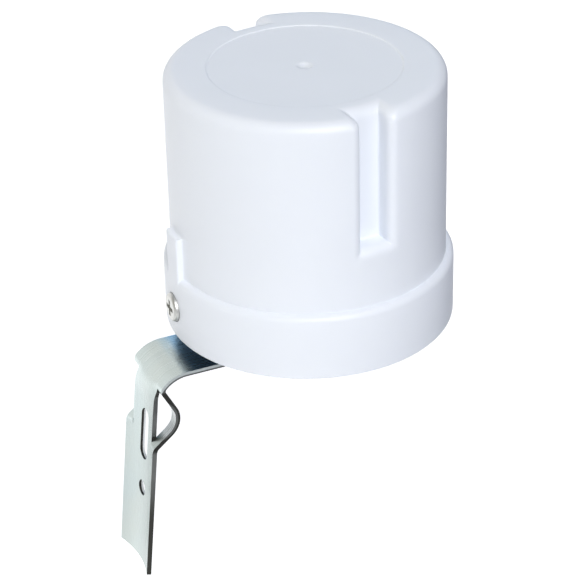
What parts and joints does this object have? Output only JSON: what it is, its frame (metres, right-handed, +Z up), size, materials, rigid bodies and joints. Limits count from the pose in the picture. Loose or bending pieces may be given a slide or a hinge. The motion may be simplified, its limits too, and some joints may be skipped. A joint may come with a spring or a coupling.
{
  "type": "photocell switch",
  "caption": "White cylindrical photocell light switch with grip grooves, on a bent steel strip bracket with a bolt slot, a round hole and strap bridges for a pole.",
  "frame": {"origin": "centre of the round hole in the bracket's leg, on the face that meets the pole", "axes": "+Z up along the housing's axis, -X away from the housing towards the pole or wall, Y across the bracket"},
  "size_m": [0.0905, 0.074, 0.1312],
  "materials": {
    "white_plastic": "satin, slightly translucent",
    "black_plastic": "fine spark texture",
    "rubber": "matt",
    "zinc_steel": "bright zinc plating",
    "screw_steel": "nickel plating",
    "board_green": "solder mask",
    "relay_blue": "satin",
    "film_yellow": "satin",
    "can_black": "shrink sleeve",
    "varistor_blue": "dipped coating",
    "moulded_black": "moulded",
    "amber_glass": "glassy",
    "resistor_grey": "lacquered",
    "resistor_tan": "lacquered",
    "holder_white": "moulded",
    "sensor_orange": "clear coated",
    "brass": "tinned"
  },
  "bodies": {
    "root": {"cap": "white_plastic", "base": "black_plastic", "seal_ring": "rubber", "side_screws": "screw_steel", "bracket": "zinc_steel", "bracket_screws": "screw_steel", "bracket_washers": "screw_steel", "wire_grommet": "rubber", "circuit_board": "board_green", "board_screws": "screw_steel", "relay": "relay_blue", "film_capacitor": "film_yellow", "smoothing_capacitor": "can_black", "varistor": "varistor_blue", "rectifier_diodes": "moulded_black", "zener_diode": "amber_glass", "switching_transistor": "moulded_black", "dropper_resistor": "resistor_grey", "bleed_resistor": "resistor_tan", "base_resistor": "resistor_tan", "sensor_holder": "holder_white", "light_sensor": "sensor_orange", "wire_posts": "brass"}
  },
  "joints": []
}
